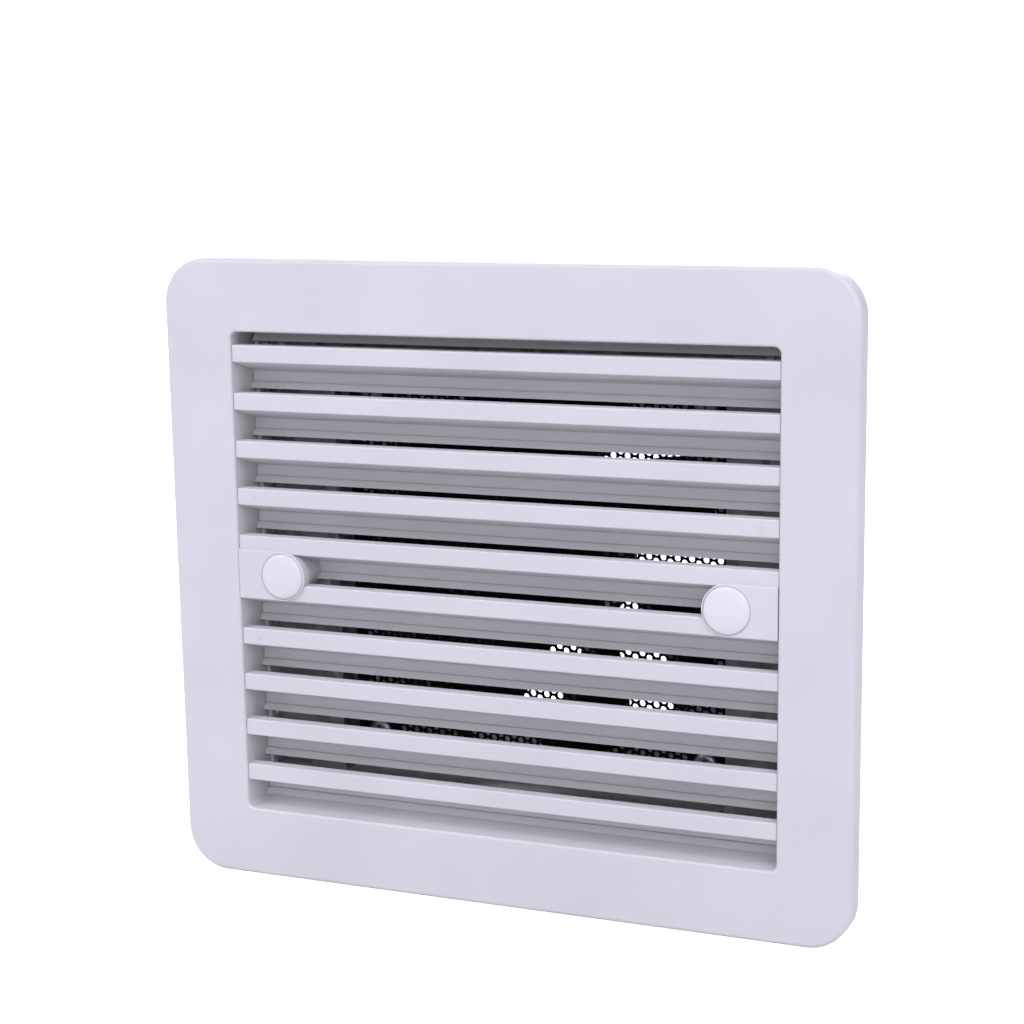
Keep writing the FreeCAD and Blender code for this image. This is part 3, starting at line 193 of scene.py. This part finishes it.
def galvanised(name):
    """Zinc-coated sheet: grey spangles with rolling marks, and painted light on faces that look up,
    which are made pale, mottled and less metallic.
    """
    metal = 0.5
    material, tree, shader, coords = base_material(name, 0.5, metallic=metal)
    warp = node_at(tree, "ShaderNodeTexNoise", Scale=180.0, Detail=3.0)
    tree.links.new(coords, warp.inputs["Vector"])
    push = node_at(tree, "ShaderNodeVectorMath", operation="MULTIPLY_ADD")
    push.inputs[1].default_value = (4.0 * MM,) * 3
    tree.links.new(warp.outputs["Color"], push.inputs[0])
    tree.links.new(coords, push.inputs[2])
    cells = node_at(tree, "ShaderNodeTexVoronoi", Scale=230.0)
    tree.links.new(push.outputs["Vector"], cells.inputs["Vector"])
    separate = node_at(tree, "ShaderNodeSeparateColor")
    tree.links.new(cells.outputs["Color"], separate.inputs["Color"])
    spangle = separate.outputs["Red"]
    shade = ramp(tree, spangle, [(0.0, (0.24, 0.245, 0.24)), (0.5, (0.34, 0.345, 0.34)),
                                 (1.0, (0.47, 0.475, 0.47))])
    # painted light: faces that look up get a pale colour that stands in for light falling on them, and
    # are made less metallic
    facing = node_at(tree, "ShaderNodeSeparateXYZ")
    tree.links.new(coords.node.outputs["Normal"], facing.inputs["Vector"])
    up_facing_mask = ramp(tree, facing.outputs["Z"], [(0.75, 0.0), (0.95, 1.0)])
    # the pale colour is mottled, as painted light and shadow falling through the guard
    painted_mottle = noise(tree, coords, 2.5, detail=4.0, roughness=0.7)
    painted_top_light = ramp(tree, painted_mottle, [(0.3, (0.58, 0.60, 0.55)), (0.7, (0.86, 0.88, 0.83))])
    tree.links.new(blend(tree, up_facing_mask, shade, painted_top_light), shader.inputs["Base Color"])
    dull = node_at(tree, "ShaderNodeMath", operation="SUBTRACT")
    dull.inputs[0].default_value = metal
    tree.links.new(up_facing_mask, dull.inputs[1])
    tree.links.new(dull.outputs["Value"], shader.inputs["Metallic"])
    tree.links.new(spread(tree, spangle, 0.42, 0.6), shader.inputs["Roughness"])
    rolled = noise(tree, coords, 0.8, detail=2.0, stretch=(0.06, 1.0, 1.0))
    add_bump(tree, shader, [(spangle, 0.006, 0.5), (rolled, 0.01, 0.35)])
    return material


def plated(name, colour, roughness, brushed=(1.0, 1.0, 1.0), size_mm=0.6):
    """Plated or drawn steel with fine tool marks and faint staining."""
    material, tree, shader, coords = base_material(name, roughness, metallic=1.0)
    stain = noise(tree, coords, 3.5, detail=4.0)
    marks = noise(tree, coords, size_mm, detail=2.0, stretch=brushed)
    tree.links.new(ramp(tree, stain, [(0.3, tint(colour, 0.86)), (0.7, tint(colour, 1.06))]),
                   shader.inputs["Base Color"])
    tree.links.new(spread(tree, marks, roughness - 0.08, roughness + 0.1), shader.inputs["Roughness"])
    add_bump(tree, shader, [(marks, 0.008, 0.4)])
    return material


def coated(name, colour, roughness, **extras):
    """Powder coat: fine orange peel over a dark pigment."""
    material, tree, shader, coords = base_material(name, roughness, **extras)
    peel = noise(tree, coords, 0.5, detail=2.0)
    drift = noise(tree, coords, 12.0, detail=3.0)
    tree.links.new(ramp(tree, drift, [(0.3, tint(colour, 0.85)), (0.7, tint(colour, 1.15))]),
                   shader.inputs["Base Color"])
    tree.links.new(spread(tree, peel, roughness - 0.06, roughness + 0.08), shader.inputs["Roughness"])
    add_bump(tree, shader, [(peel, 0.03, 0.5)])
    return material


def foam(name):
    """Closed-cell foam: small dark cells on a soft matt face."""
    material, tree, shader, coords = base_material(name, 0.85)
    cells = node_at(tree, "ShaderNodeTexVoronoi", Scale=1700.0)
    tree.links.new(coords, cells.inputs["Vector"])
    distance = cells.outputs["Distance"]
    tree.links.new(ramp(tree, distance, [(0.0, (0.018, 0.018, 0.019)), (0.6, (0.05, 0.05, 0.052))]),
                   shader.inputs["Base Color"])
    tree.links.new(spread(tree, distance, 0.78, 0.92), shader.inputs["Roughness"])
    add_bump(tree, shader, [(distance, 0.15, 0.7)])
    return material


MATERIALS = {
    "white_plastic": moulded("white_plastic", (0.615, 0.607, 0.595), 0.42, specks=0.25),
    "cap_plastic": moulded("cap_plastic", (0.69, 0.682, 0.665), 0.34, drift=0.02),
    "gasket_foam": foam("gasket_foam"),
    "zinc_steel": plated("zinc_steel", (0.50, 0.505, 0.52), 0.34),
    "galvanised_sheet": galvanised("galvanised_sheet"),
    "black_sheet": coated("black_sheet", (0.006, 0.006, 0.007), 0.8, Specular_IOR_Level=0.08),
    "fan_plastic": moulded("fan_plastic", (0.017, 0.017, 0.018), 0.6, grain_mm=0.5, drift=0.15,
                           Specular_IOR_Level=0.08),
    "blade_plastic": moulded("blade_plastic", (0.014, 0.014, 0.015), 0.55, grain_mm=0.8, drift=0.15,
                             Specular_IOR_Level=0.12),
    "cup_steel": plated("cup_steel", (0.42, 0.42, 0.43), 0.4),
    "magnet_rubber": moulded("magnet_rubber", (0.04, 0.04, 0.042), 0.7, drift=0.1),
    "bright_steel": plated("bright_steel", (0.78, 0.78, 0.79), 0.2),
    "brass_tube": plated("brass_tube", (0.82, 0.62, 0.28), 0.25),
    "core_steel": plated("core_steel", (0.34, 0.34, 0.36), 0.45, brushed=(1.0, 12.0, 1.0), size_mm=6.0),
    "bobbin_plastic": moulded("bobbin_plastic", (0.72, 0.70, 0.62), 0.4),
    "copper_coil": plated("copper_coil", (0.62, 0.24, 0.09), 0.3),
    "board_green": moulded("board_green", (0.02, 0.16, 0.06), 0.3, grain_mm=1.2, drift=0.12),
    "chip_black": moulded("chip_black", (0.02, 0.02, 0.021), 0.5),
    "label_paper": moulded("label_paper", (0.72, 0.72, 0.70), 0.5, grain_mm=0.6),
    "terminal_plastic": moulded("terminal_plastic", (0.70, 0.69, 0.62), 0.35),
}


# Width of the small round on sharp edges, in mm; the other nodes have SMALL_ROUND
EDGE_ROUNDS = {"front_frame": 0.25, "louvre_insert": 0.18, "fan_pan": 0.25, "fan_housing": 0.4,
               "terminal_block": 0.4}
SMALL_ROUND = 0.12
# Edges that turn by more than this, in degrees, are rounded on a node and creased on a piece
ROUND_FROM = 40
CREASE_FROM = 35


def dress_frame_nodes():
    """Give each CAD node its slot's material, small rounds on its sharp edges and clean shading."""
    slots = {entry["node"]: entry["material_slot"] for entry in frame["record"]["subparts"]}
    for name, node in NODES.items():
        node.data.materials.clear()
        node.data.materials.append(MATERIALS[slots[name]])
        bevel = node.modifiers.new("edge_round", "BEVEL")
        bevel.width = EDGE_ROUNDS.get(name, SMALL_ROUND) * MM
        bevel.segments = 2
        bevel.limit_method = "ANGLE"
        bevel.angle_limit = math.radians(ROUND_FROM)
        bevel.harden_normals = True
        bevel.use_clamp_overlap = True


# ------------------------------------------------------------------ pieces

# Points nearer than this, in metres, count as one
TOUCHING = 1e-7


def add_piece(name, mesh, slot, body, replaces=()):
    """Turn a bmesh into a named piece with outward normals, smooth faces and creased sharp edges."""
    bmesh.ops.recalc_face_normals(mesh, faces=mesh.faces)
    for face in mesh.faces:
        face.smooth = True
    for edge in mesh.edges:
        edge.smooth = edge.calc_face_angle(0.0) < math.radians(CREASE_FROM)
    data = bpy.data.meshes.new(name)
    mesh.to_mesh(data)
    mesh.free()
    obj = bpy.data.objects.new(name, data)
    bpy.context.scene.collection.objects.link(obj)
    data.materials.append(MATERIALS[slot])
    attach(obj, body)
    if replaces:
        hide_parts(*replaces)
    return obj


def ring_of(mesh, radius, y, x, z, steps):
    """A circle of vertices about a line along Y."""
    turns = [2 * math.pi * step / steps for step in range(steps)]
    return [mesh.verts.new((x + radius * math.cos(turn), y, z + radius * math.sin(turn)))
            for turn in turns]


def join_rings(mesh, one, two):
    """Faces between two rings; either may be a single point."""
    count = max(len(one), len(two))
    for step in range(count):
        following = (step + 1) % count
        picked = (one[step % len(one)], one[following % len(one)],
                  two[following % len(two)], two[step % len(two)])
        mesh.faces.new(list(dict.fromkeys(picked)))


def turned(mesh, profile, x, z, steps=64):
    """Revolve (radius, y) points about a line along Y into rings; a zero radius gives one point."""
    rings = []
    for radius, y in profile:
        rings.append(ring_of(mesh, radius, y, x, z, steps) if radius else [mesh.verts.new((x, y, z))])
        if len(rings) > 1:
            join_rings(mesh, rings[-2], rings[-1])
    return rings


def cross_outline(mesh, reach, half, y, x, z):
    """The twelve corners of a plus sign, from its arms' reach and half their width."""
    corners = []
    quarter = [(reach, -half), (reach, half), (half, half)]
    for _ in range(4):
        corners += quarter
        quarter = [(-v, u) for u, v in quarter]
    return [mesh.verts.new((x + u, y, z + v)) for u, v in corners]


def pan_head(mesh, crown, seat, radius, x, z):
    """Pan head with rounded shoulders and a tapered cross recess; crown and seat are its Y limits."""
    rise = crown - seat
    # (part of the radius, part of the rise), from the seat to the rim of the flat top
    shape = [(0.30, 0.0), (0.97, 0.0), (1.0, 0.06), (1.0, 0.38), (0.97, 0.60), (0.90, 0.78),
             (0.80, 0.90), (0.66, 1.0)]
    top = turned(mesh, [(radius * r, seat + rise * h) for r, h in shape], x, z, steps=48)[-1]
    mouth = cross_outline(mesh, reach=radius * 0.52, half=radius * 0.12, y=crown, x=x, z=z)
    sink = cross_outline(mesh, reach=radius * 0.34, half=radius * 0.07, y=seat + rise * 0.35, x=x, z=z)
    join_rings(mesh, mouth, sink)
    mesh.faces.new(sink)
    rim = [mesh.edges.get((loop[i - 1], loop[i])) or mesh.edges.new((loop[i - 1], loop[i]))
           for loop in (top, mouth) for i in range(len(loop))]
    bmesh.ops.triangle_fill(mesh, use_beauty=True, use_dissolve=False, edges=rim)


def thread(mesh, start, end, crest, pitch, x, z, steps=16):
    """A helical thread between two Y levels that fades into the core at its end, the tip."""
    low, high = min(start, end), max(start, end)
    root = crest - pitch * 0.5
    fade = pitch * 1.2
    section = [(root, 0.0), (root, 0.12), (crest, 0.44), (crest, 0.56), (root, 0.88)]
    total = int(((high - low) / pitch + 2) * steps)
    rows = []
    for step in range(total):
        turn = 2 * math.pi * step / steps
        row = []
        for radius, part in section:
            y = low + pitch * (step / steps - 1 + part)
            radius -= (radius - root) * max(0.0, 1 - abs(y - end) / fade)
            across, up = radius * math.cos(turn), radius * math.sin(turn)
            row.append(mesh.verts.new((x + across, min(max(y, low), high), z + up)))
        rows.append(row)
    for step in range(total - 1):
        one, two = rows[step], rows[step + 1]
        for index in range(len(section) - 1):
            mesh.faces.new((one[index], two[index], two[index + 1], one[index + 1]))
        if step + steps + 1 < total:
            mesh.faces.new((one[-1], two[-1], rows[step + steps + 1][0], rows[step + steps][0]))
    turned(mesh, [(0.0, end), (root, end)], x, z, steps)


def machine_screws(node, body, places, head_front, head_height, crest, pitch):
    """Replace a set of plain CAD screws by ones with recessed heads and real threads."""
    low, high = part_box(node)
    radius = high.x - max(x for x, z in places)
    crown, tip = (low.y, high.y) if head_front else (high.y, low.y)
    seat = crown + head_height * (1 if head_front else -1)
    mesh = bmesh.new()
    for x, z in places:
        pan_head(mesh, crown, seat, radius, x, z)
        thread(mesh, seat, tip, crest, pitch, x, z)
    bmesh.ops.dissolve_degenerate(mesh, dist=TOUCHING, edges=mesh.edges)
    add_piece(f"{node}_threaded", mesh, "zinc_steel", body, (node,))


def perforated_sheet():
    """The guard: round holes on a hexagonal grid, plain at its margin and round the screws."""
    pitch = 2.5 * MM
    hole_radius = 0.975 * MM
    plain_margin = 2.6 * MM
    plain_round_screw = 5.2 * MM
    corner = 1.2 * MM
    screw_hole_radius = 2.1 * MM
    rim_steps = 32
    column = pitch * math.sqrt(3) / 2
    half = GUARD_HIGH
    # a hexagonal cell: its corners and, between them, the middles of its sides
    spokes = [math.radians(30 * k) for k in range(12)]
    reach = [pitch / 2 if k % 2 else pitch / math.sqrt(3) for k in range(12)]
    mesh = bmesh.new()
    columns = int(half.x / column) + 2
    rows = int(half.z / pitch) + 2
    for i in range(-columns, columns + 1):
        for k in range(-rows, rows + 1):
            x = i * column
            z = (k + (i % 2) / 2) * pitch
            from_screw = math.hypot(abs(x) - FAN_SCREW, abs(z) - FAN_SCREW)
            if from_screw < plain_round_screw - pitch / 2:
                continue
            outer = [mesh.verts.new((x + r * math.cos(a), GUARD_LOW.y, z + r * math.sin(a)))
                     for a, r in zip(spokes, reach)]
            at_margin = abs(x) > half.x - plain_margin or abs(z) > half.z - plain_margin
            if at_margin or from_screw < plain_round_screw + pitch / 2:
                mesh.faces.new(outer)
            else:
                inner = [mesh.verts.new((x + hole_radius * math.cos(a), GUARD_LOW.y,
                                         z + hole_radius * math.sin(a))) for a in spokes]
                join_rings(mesh, outer, inner)
    bmesh.ops.remove_doubles(mesh, verts=mesh.verts, dist=0.02 * MM)
    for x, z in FAN_PLACES:
        hub = Vector((x, GUARD_LOW.y, z))
        near = plain_round_screw + pitch / 2
        rim = ring_of(mesh, screw_hole_radius, GUARD_LOW.y, x, z, rim_steps)
        edges = [mesh.edges.new((rim[i - 1], rim[i])) for i in range(rim_steps)]
        edges += [edge for edge in mesh.edges if edge.is_boundary
                  and max((vert.co - hub).length for vert in edge.verts) < near]
        bmesh.ops.triangle_fill(mesh, use_beauty=True, use_dissolve=False, edges=edges)
    cuts = [((half.x, 0, 0), (1, 0, 0)), ((0, 0, half.z), (0, 0, 1)),
            ((half.x - corner, 0, half.z), (1, 0, 1)), ((half.x - corner, 0, -half.z), (1, 0, -1))]
    for point, normal in cuts:
        for side in (1, -1):
            everything = mesh.verts[:] + mesh.edges[:] + mesh.faces[:]
            bmesh.ops.bisect_plane(mesh, geom=everything, dist=TOUCHING, clear_outer=True,
                                   plane_co=Vector(point) * side, plane_no=Vector(normal) * side)
    sheet = add_piece("guard_perforated", mesh, "black_sheet", "frame", ("guard_mesh",))
    if sheet.data.polygons[0].normal.y > 0:
        sheet.data.flip_normals()
    thick = sheet.modifiers.new("thickness", "SOLIDIFY")
    thick.thickness = GUARD_HIGH.y - GUARD_LOW.y
    thick.offset = -1.0
    for polygon in sheet.data.polygons:
        polygon.use_smooth = False


def button_cap(side_name):
    """Snap-in cap: a thick disc with a soft edge and a gentle crown, over a hollow skirt."""
    node = f"screw_cap_{side_name}"
    low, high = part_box(node)
    x, z = (low.x + high.x) / 2, (low.z + high.z) / 2
    end = (high.y - low.y) / MM
    skirt = (high.x - low.x) / 2 / MM - 1.25
    # (radius, depth from the crown) in mm: crown and edge, then the skirt's outside, end and inside
    seat = 2.6
    profile = [(0.0, 0.0), (1.8, 0.03), (3.4, 0.12), (4.7, 0.27), (5.6, 0.42), (6.15, 0.58),
               (6.48, 0.78), (6.64, 1.0), (6.74, 1.3), (6.8, 1.7), (6.8, 2.3), (6.7, 2.5), (6.45, seat),
               (skirt, seat), (skirt, end - 0.35), (skirt - 0.2, end), (skirt - 0.75, end),
               (skirt - 0.95, end - 0.2), (skirt - 0.95, seat - 0.9), (0.0, seat - 1.0)]
    mesh = bmesh.new()
    turned(mesh, [(radius * MM, low.y + depth * MM) for radius, depth in profile], x, z, steps=96)
    add_piece(f"cap_{side_name}_button", mesh, "cap_plastic", f"cap_{side_name}", (node,))


def make_pieces():
    """Everything that is finer in the picture than in CAD."""
    perforated_sheet()
    button_cap("left")
    button_cap("right")
    for node, body, places, head_front, head_height, crest, pitch in SCREW_SETS:
        machine_screws(node, body, places, head_front, head_height * MM, crest * MM, pitch * MM)


# ------------------------------------------------------------------ floor, light, camera

# The tent's colour and strength, and how bright the camera sees it
COOL = (0.86, 0.85, 1.0)
TENT = 0.34
TENT_SEEN = 1.1
FLOOR_HALF = 6.0
# Name, place, width and height, power; all of them face the origin
LIGHTS = [
    ("key_left", (-2.0, -1.95, 2.03), (1.7, 2.3), 40.0),
    ("key_right", (2.0, -1.95, 2.03), (1.7, 2.3), 46.0),
    ("top", (0.1, -1.15, 2.7), (3.0, 1.0), 30.0),
    ("front", (0.6, -2.8, 0.75), (1.6, 0.7), 16.0),
    ("side", (2.2, 0.8, 0.9), (1.0, 1.2), 10.0),
    ("back", (-0.4, 2.3, 1.9), (1.8, 1.2), 75.0),
]
# Place in metres, turn in degrees, lens in mm and upward shift in sensor widths
CAMERA_PLACE = (0.26144, -0.58092, 0.13290)
CAMERA_TURN = (77.938, 0.865, 23.904)
LENS = 80.4
SHIFT_UP = 0.0859


def make_stage():
    """A wide pale floor that the camera sees as the glowing white base of a light tent."""
    mesh = bmesh.new()
    corners = [(-1, -1), (1, -1), (1, 1), (-1, 1)]
    mesh.faces.new([mesh.verts.new((x * FLOOR_HALF, y * FLOOR_HALF, FLOOR_Z)) for x, y in corners])
    data = bpy.data.meshes.new("floor")
    mesh.to_mesh(data)
    mesh.free()
    floor = bpy.data.objects.new("floor", data)
    bpy.context.scene.collection.objects.link(floor)
    material, tree, shader, coords = base_material("floor_paint", 0.7)
    soft = noise(tree, coords, 400.0, detail=2.0)
    tree.links.new(ramp(tree, soft, [(0.3, 0.68), (0.7, 0.72)]), shader.inputs["Base Color"])
    shader.inputs["Emission Color"].default_value = (1.0, 1.0, 1.0, 1.0)
    seen = tree.nodes.new("ShaderNodeLightPath").outputs["Is Camera Ray"]
    tree.links.new(seen, shader.inputs["Emission Strength"])
    data.materials.append(material)


def area_light(name, place, size, energy):
    """A cool rectangular light that faces the origin."""
    light = bpy.data.lights.new(name, "AREA")
    light.shape = "RECTANGLE"
    light.size, light.size_y = size
    light.energy = energy
    light.color = COOL
    obj = bpy.data.objects.new(name, light)
    obj.location = place
    obj.rotation_euler = (-Vector(place)).to_track_quat("-Z", "Y").to_euler()
    bpy.context.scene.collection.objects.link(obj)


def make_light():
    """A cool tent that the camera sees as plain white, and soft lights on all sides."""
    world = bpy.data.worlds.new("studio")
    world.use_nodes = True
    tree = world.node_tree
    tent = tree.nodes["Background"]
    tent.inputs["Color"].default_value = (*COOL, 1.0)
    tent.inputs["Strength"].default_value = TENT
    seen = node_at(tree, "ShaderNodeBackground", Color=(1.0, 1.0, 1.0, 1.0), Strength=TENT_SEEN)
    choice = tree.nodes.new("ShaderNodeMixShader")
    tree.links.new(tree.nodes.new("ShaderNodeLightPath").outputs["Is Camera Ray"], choice.inputs["Fac"])
    tree.links.new(tent.outputs["Background"], choice.inputs[1])
    tree.links.new(seen.outputs["Background"], choice.inputs[2])
    tree.links.new(choice.outputs["Shader"], tree.nodes["World Output"].inputs["Surface"])
    bpy.context.scene.world = world
    for light in LIGHTS:
        area_light(*light)


def make_camera():
    """The view from the front, a little to the right and above."""
    camera = bpy.data.cameras.new("camera")
    camera.sensor_width = 36.0
    camera.lens = LENS
    camera.shift_y = SHIFT_UP
    camera.clip_start = 0.01
    camera.clip_end = 50.0
    obj = bpy.data.objects.new("camera", camera)
    obj.location = CAMERA_PLACE
    obj.rotation_euler = Euler([math.radians(angle) for angle in CAMERA_TURN], "XYZ")
    bpy.context.scene.collection.objects.link(obj)
    bpy.context.scene.camera = obj


bpy.context.scene.view_settings.view_transform = "Standard"
dress_frame_nodes()
make_pieces()
make_stage()
make_light()
make_camera()
